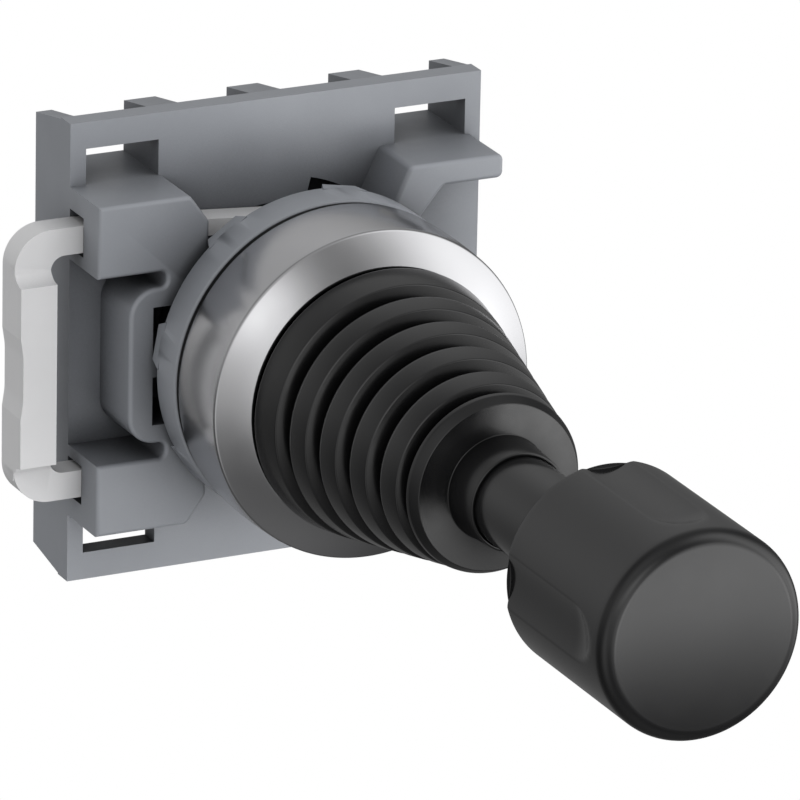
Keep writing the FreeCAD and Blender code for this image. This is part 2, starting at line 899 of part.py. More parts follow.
def make_spring(side, turn):
    """Coil of the plunger's return spring, as a round wire swept along a helix."""
    mean = d.tail_radius + d.slide_gap + d.wire_radius
    front = COLLAR_BACK + d.wire_radius + d.fit_gap
    length = GUIDE_FRONT - front - d.wire_radius - d.fit_gap
    across, up = around(PLUNGER_CIRCLE, turn)
    coil = doc.addObject("Part::Helix", "coil_" + side)
    bind(coil, "Radius", mean)
    bind(coil, "Height", length)
    bind(coil, "Pitch", length / d.spring_turns)
    wire = doc.addObject("Part::Circle", "wire_" + side)
    bind(wire, "Radius", d.wire_radius)
    wire.Placement = FreeCAD.Placement(FreeCAD.Vector(), QUARTER_TURN)
    bind(wire, "Placement.Base.x", mean)
    spring = doc.addObject("Part::Sweep", "spring_" + side)
    spring.Sections = [wire]
    spring.Spine = (coil, [])
    spring.Solid = True
    spring.Frenet = True
    spring.Placement = FreeCAD.Placement(FreeCAD.Vector(), QUARTER_TURN.inverted())
    bind(spring, "Placement.Base.x", across)
    bind(spring, "Placement.Base.y", front)
    bind(spring, "Placement.Base.z", up)
    parts.append(spring)


def key_outline(turn, inner, spare):
    """One key as an (x, z) outline, spare larger on its outside and its flanks."""
    half = d.key_wide / 2 + spare * 4
    outer = d.key_radius + spare
    first = around(outer, turn - half)
    last = around(outer, turn + half)
    back = around(inner, turn + half)
    front = around(inner, turn - half)
    return [Corner(*first, bow=outer), Corner(*last), Corner(*back, bow=-inner), Corner(*front)]


def make_guide():
    """Rear guide: a disc in the bore, a cap on the neck's end and two keys in the plate."""
    body = new_body("plunger_guide")
    cap = HOLE_RADIUS - d.slide_gap
    corners = [
        Corner(d.ball_radius, GUIDE_FRONT),
        Corner(REAR_BORE, GUIDE_FRONT),
        Corner(REAR_BORE, NECK_LENGTH),
        Corner(cap, NECK_LENGTH),
        Corner(cap, CAP_BACK),
        Corner(d.ball_radius, CAP_BACK),
    ]
    revolve(body, corners)
    inner = d.neck_radius + d.fit_gap
    for turn in (d.key_turn, d.key_turn + 180):
        pad_back(body, d.plate_front + d.key_sunk, CAP_BACK, key_outline(turn, inner, 0), name="key")
    hole = d.tail_radius + d.fit_gap
    holes = [around(PLUNGER_CIRCLE, turn) + (hole,) for turn in SIDES.values()]
    pocket_back(body, COLLAR_BACK, CAP_BACK, circles=holes)


# Fixing nut


def make_nut():
    body = new_body("fixing_nut")
    floor = NUT_FRONT + d.nut_thick
    tip = floor + d.tooth_height
    collar = NUT_BORE + d.nut_collar
    corners = [
        Corner(NUT_BORE, NUT_FRONT),
        Corner(d.bezel_radius, NUT_FRONT, rounding=d.nut_round),
        Corner(d.bezel_radius, floor),
        Corner(collar, floor),
        Corner(collar, tip),
        Corner(NUT_BORE, tip),
    ]
    revolve(body, corners)
    root_half = d.tooth_base / 2
    tip_half = d.tooth_tip / 2
    sunk = floor - d.clear_gap
    tooth = [
        Corner(sunk, -root_half),
        Corner(tip, -tip_half),
        Corner(tip, tip_half),
        Corner(sunk, root_half),
    ]
    start = collar - d.clear_gap
    length = d.bezel_radius - d.fit_gap - start
    polar(body, pad(body, "YZ_Plane", start, length, tooth, name="tooth"), TEETH)
    body.Placement = FreeCAD.Placement(FreeCAD.Vector(), FreeCAD.Rotation(FreeCAD.Vector(0, 1, 0), 1))
    bind(body, "Placement.Rotation.Angle", d.tooth_turn)


# Holder: plate, ribs, shelves, bosses, guard and bent walls


def rib_outline(bottom, sloped):
    """A rib seen along X, as (y, z): its top runs down towards the back."""
    top = d.plate_top
    corners = [Corner(d.plate_front + d.rib_flat, top), Corner(RIB_BACK, top - d.rib_slope)]
    if sloped:
        corners += [Corner(RIB_BACK, -bottom + d.rib_slope), Corner(d.plate_front + d.rib_flat, -bottom)]
    else:
        corners += [Corner(RIB_BACK, -bottom), Corner(d.plate_front + d.rib_flat, -bottom)]
    return corners


def make_holder():
    body = new_body("holder")
    plate = rectangle(-HALF_WIDTH, HALF_WIDTH, -d.plate_bottom, d.plate_top)
    pad_back(body, d.plate_front, PLATE_BACK, plate, name="plate")
    side = rib_outline(d.plate_bottom, True)
    inner = rib_outline(d.rib_bottom, False)
    pad(body, "YZ_Plane", -HALF_WIDTH, d.side_wall, side, name="wall")
    pad(body, "YZ_Plane", BAY_OUTER, d.side_wall, side, name="wall")
    pad(body, "YZ_Plane", -BAY_INNER, d.rib_thick, inner, name="rib")
    pad(body, "YZ_Plane", -d.rib_thick / 2, d.rib_thick, inner, name="rib")
    pad(body, "YZ_Plane", BAY_INNER - d.rib_thick, d.rib_thick, inner, name="rib")
    shelf_low = d.shelf_top - d.shelf_thick
    shelf = rectangle(-BAY_OUTER, BAY_OUTER, shelf_low, d.shelf_top)
    pad_back(body, d.plate_front + d.rib_flat, RIB_BACK, shelf, below(shelf), name="shelf")
    cut_plate(body)
    inset = d.plate_front + d.clear_gap
    for outline in (left_side(), bent_wall(), below(bent_wall())):
        pad_back(body, BOSS_FRONT, inset, outline, name="boss")
    soften(body, d.boss_edge, BOSS_FRONT)
    cut_bosses(body)


def left_side():
    """Two blocks that guide the fork's arms and the guard wall between them, as (x, z)."""
    reach = HALF_WIDTH - d.boss_reach
    soft = d.boss_round
    upper = [
        Corner(-d.boss_waist, d.boss_side, rounding=soft),
        Corner(-reach, d.shelf_top, rounding=soft),
        Corner(-HALF_WIDTH, d.shelf_top),
        Corner(-HALF_WIDTH, d.boss_bottom),
        Corner(-d.boss_notch, d.boss_bottom, rounding=soft),
        Corner(-d.boss_notch, d.guard_half, rounding=soft),
        Corner(-d.guard_left, d.guard_half, rounding=d.guard_round),
    ]
    return upper + below(upper)[::-1]


def bent_wall():
    """Bent wall on the right: a shelf that turns down towards the neck."""
    low = d.shelf_top - d.bend_wall
    slant = d.bend_wall * 0.7
    toe = slant * d.bend_foot / d.bend_drop
    soft = d.boss_round
    return [
        Corner(d.bend_left, d.shelf_top, rounding=soft),
        Corner(d.bend_left - slant - toe, d.shelf_top - d.bend_drop - d.bend_foot, rounding=soft),
        Corner(d.bend_left + d.bend_wall * 0.35 - toe, low - d.bend_wall - d.bend_foot, rounding=soft),
        Corner(d.bend_left + d.bend_drop, low, rounding=soft),
        Corner(d.bend_right, low, rounding=soft),
        Corner(d.bend_right, d.shelf_top, rounding=soft),
    ]


def cut_plate(body):
    """Windows above and below the shelves, and the notches for the guide's keys."""
    window_high = rectangle(BAY_INNER, BAY_OUTER, d.shelf_top, d.window_top)
    window_low = rectangle(BAY_INNER, BAY_OUTER, -d.window_bottom, -d.shelf_top)
    outlines = [window_high, mirrored(window_high), window_low, mirrored(window_low)]
    pocket_back(body, d.plate_front, PLATE_BACK, *outlines)
    for turn in (d.key_turn, d.key_turn + 180):
        notch = key_outline(turn, d.neck_radius - d.clear_gap, d.fit_gap)
        pocket_back(body, d.plate_front, PLATE_BACK, notch)


def cut_bosses(body):
    """Hole for the neck, two windows beside the nut and the slots for the fork's arms."""
    pocket_back(body, BOSS_FRONT, RIB_BACK, circles=[(0, 0, HOLE_RADIUS)])
    pocket_left = -d.guard_left + d.guard_wall
    hollow = rectangle(pocket_left, 0, d.web_half, d.pocket_half)
    pocket_back(body, BOSS_FRONT, d.plate_front, hollow, below(hollow))
    slot = rectangle(-HALF_WIDTH - d.clear_gap, 0, SLOT_INNER, SLOT_OUTER)
    pocket_back(body, SLOT_FRONT, d.plate_front, slot, below(slot))


# Locking fork


def make_fork():
    body = new_body("locking_fork")
    outer = d.fork_round
    arm = ARM_OUTER
    tip = ARM_INNER + d.arm_tip
    loop = [
        Corner(d.arm_end, tip, rounding=d.arm_tip_round),
        Corner(-HALF_WIDTH, arm),
        Corner(-d.bar_outer, arm, rounding=outer),
        Corner(-d.bar_outer, -arm, rounding=outer),
        Corner(-HALF_WIDTH, -arm),
        Corner(d.arm_end, -tip, rounding=d.arm_tip_round),
        Corner(d.arm_end, -ARM_INNER),
        Corner(-BAR_INNER, -ARM_INNER, rounding=d.fork_inside),
        Corner(-BAR_INNER, ARM_INNER, rounding=d.fork_inside),
        Corner(d.arm_end, ARM_INNER),
    ]
    pad_back(body, ARM_FRONT, ARM_BACK, loop, name="loop")
    sunk = ARM_FRONT + d.slide_gap
    rise = sunk - BAR_FRONT
    step = [
        Corner(BAR_FRONT, -d.bar_down, bow=-rise),
        Corner(sunk, -d.bar_down - rise),
        Corner(sunk, d.bar_up + rise, bow=-rise),
        Corner(BAR_FRONT, d.bar_up),
    ]
    pad(body, "YZ_Plane", -d.bar_outer, d.bar_wide, step, name="bar")
    floor = -d.bar_outer + d.finger_dent
    outside = -d.bar_outer - d.finger_dent
    slope = d.finger_slope * 2
    dent = [
        Corner(outside, -d.finger_down - slope),
        Corner(floor, -d.finger_down, rounding=d.finger_round),
        Corner(floor, d.finger_up, rounding=d.finger_round),
        Corner(outside, d.finger_up + slope),
    ]
    pocket_back(body, BAR_FRONT, ARM_BACK, dent)


make_bezel()
make_gasket()
make_clamp_ring()
make_housing()
make_circlip()
make_carrier()
make_gimbal_ring()
make_gimbal_pins()
make_cross_pin()
make_bell()
make_wear_plate()
make_rod()
make_sleeve()
make_knob()
make_insert()
make_bellows()
for side, turn in SIDES.items():
    make_plunger(side, turn)
    make_spring(side, turn)
make_guide()
make_nut()
make_holder()
make_fork()
doc.recompute()

# Check every object before anything is written

for thing in doc.Objects:
    if {"Invalid", "Error"} & set(thing.State):
        raise RuntimeError("%s failed: %s" % (thing.Label, thing.State))
for part in parts:
    if part.Shape.isNull() or not part.Shape.isValid():
        raise RuntimeError("%s has no valid shape" % part.Label)

os.makedirs("parts", exist_ok=True)
for part in parts:
    part.Shape.exportStep("parts/%s.step" % part.Label)
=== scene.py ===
"""Looks of a panel-mount industrial joystick, on the frame that the CAD model sets.

Lengths in this file are millimetres unless a name says otherwise; mesh points are turned
into metres when a mesh is made. The lever points along -Y, +Z is up, and "ahead" is a
distance in front of the panel plane, along -Y.
"""

import json
import logging
import math
from dataclasses import dataclass
from enum import Enum

import bmesh
import bpy
import numpy as np
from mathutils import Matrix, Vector

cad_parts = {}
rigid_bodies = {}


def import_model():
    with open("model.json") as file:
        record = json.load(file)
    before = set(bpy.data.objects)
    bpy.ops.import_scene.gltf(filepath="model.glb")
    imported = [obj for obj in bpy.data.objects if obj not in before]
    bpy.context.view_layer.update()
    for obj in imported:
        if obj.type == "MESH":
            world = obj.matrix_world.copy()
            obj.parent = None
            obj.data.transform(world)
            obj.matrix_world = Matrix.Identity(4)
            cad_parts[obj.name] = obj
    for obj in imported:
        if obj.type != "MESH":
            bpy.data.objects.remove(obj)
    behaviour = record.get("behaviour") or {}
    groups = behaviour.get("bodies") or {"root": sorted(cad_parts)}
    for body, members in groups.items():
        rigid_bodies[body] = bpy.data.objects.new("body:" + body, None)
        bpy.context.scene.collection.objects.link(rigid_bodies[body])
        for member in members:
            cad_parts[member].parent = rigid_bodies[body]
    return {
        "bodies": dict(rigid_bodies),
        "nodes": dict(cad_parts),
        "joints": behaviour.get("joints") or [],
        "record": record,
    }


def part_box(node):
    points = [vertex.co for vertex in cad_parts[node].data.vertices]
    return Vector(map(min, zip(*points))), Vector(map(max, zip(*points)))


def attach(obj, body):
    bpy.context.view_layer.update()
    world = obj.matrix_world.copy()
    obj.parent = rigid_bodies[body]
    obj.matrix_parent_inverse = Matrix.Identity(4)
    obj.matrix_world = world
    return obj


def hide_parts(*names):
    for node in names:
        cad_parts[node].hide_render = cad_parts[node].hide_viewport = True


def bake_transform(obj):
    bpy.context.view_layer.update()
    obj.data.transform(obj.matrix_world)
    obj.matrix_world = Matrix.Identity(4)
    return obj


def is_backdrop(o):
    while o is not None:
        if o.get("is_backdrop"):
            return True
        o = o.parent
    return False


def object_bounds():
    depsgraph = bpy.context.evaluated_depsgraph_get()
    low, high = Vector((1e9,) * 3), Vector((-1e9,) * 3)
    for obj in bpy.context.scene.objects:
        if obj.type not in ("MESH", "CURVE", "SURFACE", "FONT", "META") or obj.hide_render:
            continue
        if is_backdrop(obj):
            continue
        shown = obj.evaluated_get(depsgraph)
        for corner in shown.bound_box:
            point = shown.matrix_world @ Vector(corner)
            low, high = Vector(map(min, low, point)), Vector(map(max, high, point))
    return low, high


LOG = logging.getLogger("joystick")
MM = 0.001
WHITE = (1.0, 1.0, 1.0, 1.0)

# Noise values below the first and above the second count as the ends of its range
NOISE_RANGE = (0.3, 0.7)
# Share of open sky at which a hollow counts as closed and gets the full painted shade
PAINTED_SHADE_CLOSED_SHARE = 0.15
# Features per metre of the clouds in the colour and of the smears in the gloss
CLOUDS_PER_M = 150.0
SMEARS_PER_M = 420.0
# Angle in degrees from which an edge counts as sharp
SHARP_ANGLE = 35.0
# Angle in degrees below which neighbouring faces count as one flat face
FLAT_ANGLE = 1.0
# Points of a CAD node that are nearer than this are one point
MERGE_GAP = 0.002


class Body(Enum):
    """The moving bodies of the frame."""

    BASE = "base"
    GIMBAL = "gimbal"
    STICK = "stick"
    FORK = "fork"


class Slot(Enum):
    """Material slots of the record."""

    CHROME = "chrome_ring"
    CASTING = "grey_casting"
    LEVER = "light_lever"
    PLASTIC = "black_plastic"
    RUBBER = "black_rubber"
    STEEL = "steel"
    BRASS = "insert_brass"
    BEARING = "bearing_plastic"


@dataclass(frozen=True)
class Finish:
    """Look of one surface.

    Attributes:
        color: linear base colour.
        roughness: mean roughness.
        metallic: 1 for bare metal, 0 otherwise.
        mottle: how much the colour varies from place to place.
        grain_per_mm: size of the fine surface grain, in grains per millimetre.
        bump_um: height of that grain in micrometres.
        shine: strength of the mirror image on plastic, rubber or paint.
        wear: how much the roughness varies.
        painted_shade_strength: how much painted shade darkens the colour and shine of deep
            hollows.
        painted_shade_reach_mm: how far away a wall still paints shade on its neighbour.
        painted_shade_open: share of open sky from which no painted shade is added.
    """

    color: tuple[float, float, float]
    roughness: float
    metallic: float = 0.0
    mottle: float = 0.04
    grain_per_mm: float = 3.0
    bump_um: float = 6.0
    shine: float = 0.5
    wear: float = 0.04
    painted_shade_strength: float = 0.0
    painted_shade_reach_mm: float = 4.0
    painted_shade_open: float = 0.95


FINISHES = {
    Slot.CHROME: Finish(
        (0.46, 0.46, 0.47),
        0.20,
        metallic=1.0,
        mottle=0.01,
        grain_per_mm=2.0,
        bump_um=0.2,
        wear=0.02,
    ),
    Slot.CASTING: Finish(
        (0.338, 0.354, 0.385),
        0.42,
        mottle=0.03,
        grain_per_mm=5.0,
        bump_um=1.5,
        # painted shade on the plate round the nut and in the corners between ribs and bosses
        painted_shade_strength=0.85,
        painted_shade_reach_mm=10.0,
    ),
    Slot.LEVER: Finish(
        (0.85, 0.85, 0.86),
        0.40,
        mottle=0.02,
        grain_per_mm=4.0,
        bump_um=1.5,
        # painted shade in the fork's recesses
        painted_shade_strength=0.5,
    ),
    Slot.PLASTIC: Finish(
        (0.011, 0.011, 0.0115),
        0.13,
        mottle=0.05,
        grain_per_mm=6.0,
        bump_um=0.8,
        shine=0.44,
        wear=0.02,
    ),
    Slot.RUBBER: Finish(
        (0.008, 0.008, 0.0085),
        0.20,
        mottle=0.05,
        grain_per_mm=4.0,
        bump_um=1.0,
        shine=0.58,
        # painted shade in the bellows' grooves
        painted_shade_strength=0.97,
        painted_shade_reach_mm=3.2,
        painted_shade_open=0.85,
    ),
    Slot.STEEL: Finish(
        (0.56, 0.56, 0.57), 0.28, metallic=1.0, mottle=0.03, grain_per_mm=5.0, bump_um=1.0
    ),
    Slot.BRASS: Finish((0.71, 0.52, 0.22), 0.30, metallic=1.0, grain_per_mm=5.0, bump_um=1.5),
    Slot.BEARING: Finish((0.62, 0.59, 0.50), 0.45, grain_per_mm=4.0, bump_um=3.0),
}
# The seal's black rubber, made darker and duller than the other rubber so that it paints the
# shade of the gap between ring and nut.
SEAL_GAP_SHADE_FINISH = Finish(
    (0.004, 0.004, 0.004), 0.5, mottle=0.1, grain_per_mm=4.0, bump_um=2.0, shine=0.1
)


# Nodes and materials


class Tree:
    """Adds and joins the nodes of one node tree."""

    def __init__(self, tree: bpy.types.NodeTree) -> None:
        """Start with an empty tree.

        Args:
            tree: the tree to fill.
        """
        self.tree = tree
        self.tree.nodes.clear()

    def add(self, kind: str, **settings: object) -> bpy.types.Node:
        """Add a node and set its properties.

        Args:
            kind: the node's type name.
            settings: properties to set on it.

        Returns:
            The new node.
        """
        node = self.tree.nodes.new(kind)
        for name, value in settings.items():
            setattr(node, name, value)
        return node

    def link(self, source: bpy.types.NodeSocket, target: bpy.types.NodeSocket) -> None:
        """Join an output socket to an input socket."""
        self.tree.links.new(source, target)

    def math(self, kind: str, *values: bpy.types.NodeSocket | float) -> bpy.types.NodeSocket:
        """Add a math node.

        Args:
            kind: the operation.
            values: its inputs in order, each a socket or a number.

        Returns:
            The result's socket.
        """
        node = self.add("ShaderNodeMath", operation=kind)
        for place, value in zip(node.inputs, values):
            if isinstance(value, float):
                place.default_value = value
            else:
                self.link(value, place)
        return node.outputs[0]

    def remap(
        self,
        source: bpy.types.NodeSocket,
        given: tuple[float, float],
        wanted: tuple[float, float],
    ) -> bpy.types.NodeSocket:
        """Map one range of a value onto another, and hold it at the ends.

        Args:
            source: the value.
            given: ends of its range.
            wanted: what the two ends become.

        Returns:
            The mapped value's socket.
        """
        node = self.add("ShaderNodeMapRange")
        node.inputs["From Min"].default_value = given[0]
        node.inputs["From Max"].default_value = given[1]
        node.inputs["To Min"].default_value = wanted[0]
        node.inputs["To Max"].default_value = wanted[1]
        self.link(source, node.inputs["Value"])
        return node.outputs["Result"]

    def for_camera(
        self, seen: bpy.types.NodeSocket, others: bpy.types.NodeSocket
    ) -> bpy.types.NodeSocket:
        """Give one shader to the camera's rays and another to all others.

        Args:
            seen: the shader that the camera sees.
            others: the shader that the light meets.

        Returns:
            The joined shader's socket.
        """
        path = self.add("ShaderNodeLightPath")
        choose = self.add("ShaderNodeMixShader")
        self.link(path.outputs["Is Camera Ray"], choose.inputs["Fac"])
        self.link(others, choose.inputs[1])
        self.link(seen, choose.inputs[2])
        return choose.outputs["Shader"]


class Shader(Tree):
    """Builds the node tree of one material."""

    def __init__(self, name: str) -> None:
        """Start a material with only its output.

        Args:
            name: the material's name.
        """
        self.material = bpy.data.materials.new(name)
        self.material.use_nodes = True
        super().__init__(self.material.node_tree)
        self.output = self.add("ShaderNodeOutputMaterial")

    def noise(self, scale: float, detail: float = 3.0) -> bpy.types.NodeSocket:
        """Add noise in the object's own coordinates.

        Args:
            scale: features per metre.
            detail: how many finer layers it has.

        Returns:
            The noise's factor socket.
        """
        place = self.add("ShaderNodeTexCoord")
        node = self.add("ShaderNodeTexNoise")
        node.inputs["Scale"].default_value = scale
        node.inputs["Detail"].default_value = detail
        self.link(place.outputs["Object"], node.inputs["Vector"])
        return node.outputs["Fac"]

    def painted_shade_factor(self, finish: Finish) -> bpy.types.NodeSocket:
        """Add a painted-shade factor from an ambient-occlusion node: 1 in the open and lower in
        hollows.

        Args:
            finish: the look that says how far the painted shade in hollows reaches and how dark
                it is.

        Returns:
            The factor's socket.
        """
        node = self.add("ShaderNodeAmbientOcclusion", samples=8)
        node.inputs["Distance"].default_value = finish.painted_shade_reach_mm * MM
        given = (PAINTED_SHADE_CLOSED_SHARE, finish.painted_shade_open)
        return self.remap(node.outputs["AO"], given, (1.0 - finish.painted_shade_strength, 1.0))


def surface(name: str, finish: Finish) -> bpy.types.Material:
    """Make a procedural material: clouds in the colour, smears in the gloss, a fine grain, and
    painted shade that darkens the colour and shine in hollows where the finish asks for it.

    Args:
        name: the material's name.
        finish: its look.

    Returns:
        The material.
    """
    shader = Shader(name)
    principled = shader.add("ShaderNodeBsdfPrincipled")
    principled.inputs["Metallic"].default_value = finish.metallic
    principled.inputs["Specular IOR Level"].default_value = finish.shine
    clouds = shader.noise(CLOUDS_PER_M)
    blend = shader.add("ShaderNodeMix", data_type="RGBA")
    darker = tuple(c * (1.0 - finish.mottle) for c in finish.color)
    lighter = tuple(min(1.0, c * (1.0 + finish.mottle)) for c in finish.color)
    blend.inputs["A"].default_value = (*darker, 1.0)
    blend.inputs["B"].default_value = (*lighter, 1.0)
    shader.link(shader.remap(clouds, NOISE_RANGE, (0.0, 1.0)), blend.inputs["Factor"])
    tint = blend.outputs["Result"]
    # Painted shade: the occlusion factor darkens the colour and the specular level in hollows
    # and creases.
    if finish.painted_shade_strength > 0:
        painted_shade_share = shader.painted_shade_factor(finish)
        shaded = shader.add("ShaderNodeMix", data_type="RGBA", blend_type="MULTIPLY")
        shaded.inputs["Factor"].default_value = 1.0
        shader.link(tint, shaded.inputs["A"])
        shader.link(painted_shade_share, shaded.inputs["B"])
        tint = shaded.outputs["Result"]
        shine = shader.math("MULTIPLY", painted_shade_share, finish.shine)
        shader.link(shine, principled.inputs["Specular IOR Level"])
    shader.link(tint, principled.inputs["Base Color"])
    smears = shader.noise(SMEARS_PER_M, 5.0)
    gloss_range = (finish.roughness - finish.wear, finish.roughness + finish.wear)
    gloss = shader.remap(smears, NOISE_RANGE, gloss_range)
    shader.link(gloss, principled.inputs["Roughness"])
    grain = shader.noise(finish.grain_per_mm / MM, 2.0)
    bump = shader.add("ShaderNodeBump")
    bump.inputs["Strength"].default_value = 1.0
    bump.inputs["Distance"].default_value = finish.bump_um * MM * MM
    shader.link(grain, bump.inputs["Height"])
    shader.link(bump.outputs["Normal"], principled.inputs["Normal"])
    shader.link(principled.outputs["BSDF"], shader.output.inputs["Surface"])
    return shader.material


# Profiles and meshes


def fillet(corners: list[tuple[float, ...]], steps: int = 6, closed: bool = True) -> np.ndarray:
    """Round the corners of an outline.

    A corner is (across, along) or (across, along, radius). At a corner whose sides meet at
    an angle t, the arc starts radius / tan(t / 2) from the corner on each side.

    Args:
        corners: the outline's corners in order.
        steps: how many straight steps an arc has.
        closed: whether the last corner joins the first.

    Returns:
        An array of points, one row each.
    """
    points: list[np.ndarray] = []
    count = len(corners)
    for index, corner in enumerate(corners):
        here = np.array(corner[:2], float)
        radius = corner[2] if len(corner) > 2 else 0.0
        at_end = not closed and index in (0, count - 1)
        if radius <= 0 or at_end:
            points.append(here)
            continue
        back = np.array(corners[index - 1][:2], float) - here
        ahead = np.array(corners[(index + 1) % count][:2], float) - here
        back /= np.linalg.norm(back)
        ahead /= np.linalg.norm(ahead)
        half = math.acos(max(-1.0, min(1.0, float(back @ ahead)))) / 2
        middle = (back + ahead) / np.linalg.norm(back + ahead)
        centre = here + middle * radius / math.sin(half)
        first = here + back * radius / math.tan(half) - centre
        last = here + ahead * radius / math.tan(half) - centre
        sweep = math.atan2(first[0] * last[1] - first[1] * last[0], float(first @ last))
        angles = sweep * np.linspace(0.0, 1.0, steps + 1)
        across = np.cos(angles) * first[0] - np.sin(angles) * first[1]
        along = np.sin(angles) * first[0] + np.cos(angles) * first[1]
        points.extend(centre + np.stack([across, along], axis=1))
    return np.array(points)


def refine(profile: np.ndarray, step: float) -> np.ndarray:
    """Add points along a profile so that no stretch is longer than a step.

    Args:
        profile: points of an open profile.
        step: longest stretch allowed.

    Returns:
        The denser profile.
    """
    dense = [profile[0]]
    for start, stop in zip(profile[:-1], profile[1:]):
        count = max(1, math.ceil(float(np.linalg.norm(stop - start)) / step))
        dense += [start + (stop - start) * share for share in np.linspace(0, 1, count + 1)[1:]]
    return np.array(dense)


def grid_mesh(name: str, points: np.ndarray, closed: bool) -> bpy.types.Object:
    """Make a mesh from a grid of points whose columns go round a circle.

    The face at a row and a column joins their point, the next column's point, and the same
    two of the next row.

    Args:
        name: the object's name.
        points: an array of shape (rows, columns, 3), in millimetres.
        closed: whether the last row joins the first.

    Returns:
        The new object, linked to the scene.
    """
    rows, columns, _ = points.shape
    top = rows if closed else rows - 1
    row, column = np.meshgrid(np.arange(top), np.arange(columns), indexing="ij")
    next_row = (row + 1) % rows
    next_column = (column + 1) % columns
    quads = np.stack(
        [
            row * columns + column,
            row * columns + next_column,
            next_row * columns + next_column,
            next_row * columns + column,
        ],
        axis=-1,
    ).reshape(-1, 4)
    return link_mesh(name, points.reshape(-1, 3), quads)


def link_mesh(name: str, points: np.ndarray, quads: np.ndarray) -> bpy.types.Object:
    """Make a mesh object from points in millimetres and four-sided faces.

    Args:
        name: the object's name.
        points: one row per point.
        quads: one row of four point numbers per face.

    Returns:
        The new object, linked to the scene.
    """
    mesh = bpy.data.meshes.new(name)
    mesh.vertices.add(len(points))
    mesh.vertices.foreach_set("co", (points * MM).astype(np.float32).ravel())
    mesh.loops.add(quads.size)
    mesh.loops.foreach_set("vertex_index", quads.astype(np.int32).ravel())
    mesh.polygons.add(len(quads))
    mesh.polygons.foreach_set("loop_start", (np.arange(len(quads)) * 4).astype(np.int32))
    mesh.update(calc_edges=True)
    mesh.validate()
    mesh.polygons.foreach_set("use_smooth", np.ones(len(mesh.polygons), bool))
    thing = bpy.data.objects.new(name, mesh)
    bpy.context.scene.collection.objects.link(thing)
    return thing


def turned(name: str, profile: np.ndarray, segments: int = 240) -> bpy.types.Object:
    """Turn a closed (radius, ahead) profile about the lever's axis.

    A point at the turn t lies at (radius cos t, -ahead, radius sin t).

    Args:
        name: the object's name.
        profile: one (radius, ahead) row per point, ahead being the distance along -Y.
        segments: how many steps the circle has.

    Returns:
        The new object.
    """
    turn = np.linspace(0.0, 2 * math.pi, segments, endpoint=False)
    radius = profile[:, 0][:, None]
    points = np.stack(
        [
            radius * np.cos(turn)[None, :],
            np.repeat(-profile[:, 1][:, None], segments, axis=1),
            radius * np.sin(turn)[None, :],
        ],
        axis=-1,
    )
    return outward(grid_mesh(name, points, True))


def outward(thing: bpy.types.Object) -> bpy.types.Object:
    """Make every face of a closed mesh look outwards.

    The sum of first . (second x third) over all triangles is six times the volume, and it is
    negative where the faces look inwards.

    Args:
        thing: the object whose mesh is closed.

    Returns:
        The same object.
    """
    mesh = thing.data
    mesh.calc_loop_triangles()
    points = np.empty(len(mesh.vertices) * 3, np.float32)
    mesh.vertices.foreach_get("co", points)
    points = points.reshape(-1, 3)
    corners = np.empty(len(mesh.loop_triangles) * 3, np.int32)
    mesh.loop_triangles.foreach_get("vertices", corners)
    first, second, third = (points[corners.reshape(-1, 3)[:, i]] for i in range(3))
    volume = np.einsum("ij,ij->i", first, np.cross(second, third)).sum()
    if volume < 0:
        mesh.flip_normals()
    return thing


def merged_copy(node: bpy.types.Object, name: str) -> bpy.types.Object:
    """Copy a CAD node with its loose triangles joined and its flat faces made whole.

    Args:
        node: the CAD node.
        name: name of the copy.

    Returns:
        The copy, linked to the scene, with no parent.
    """
    mesh = bpy.data.meshes.new(name)
    shape = bmesh.new()
    shape.from_mesh(node.data)
    bmesh.ops.remove_doubles(shape, verts=shape.verts, dist=MERGE_GAP * MM)
    bmesh.ops.dissolve_limit(
        shape, angle_limit=math.radians(FLAT_ANGLE), verts=shape.verts, edges=shape.edges
    )
    shape.to_mesh(mesh)
    shape.free()
    mesh.polygons.foreach_set("use_smooth", np.ones(len(mesh.polygons), bool))
    mesh.set_sharp_from_angle(angle=math.radians(SHARP_ANGLE))
    copy = bpy.data.objects.new(name, mesh)
    bpy.context.scene.collection.objects.link(copy)
    return copy


def bevel(thing: bpy.types.Object, width: float) -> None:
    """Round the sharp edges of an object with a modifier.

    Args:
        thing: the object.
        width: width of the rounding in millimetres.
    """
    modifier = thing.modifiers.new("edge_rounding", "BEVEL")
    modifier.width = width * MM
    modifier.segments = 3
    modifier.limit_method = "ANGLE"
    modifier.angle_limit = math.radians(SHARP_ANGLE)
    modifier.use_clamp_overlap = True
    modifier.harden_normals = True


def reach_ahead(node: str) -> float:
    """Give how far ahead of the panel plane a CAD node reaches."""
    return -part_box(node)[0].y / MM


def outer_radius(node: str) -> float:
    """Give the outer radius of a CAD node that is round about the lever's axis."""
    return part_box(node)[1].x / MM


# Sub-assemblies


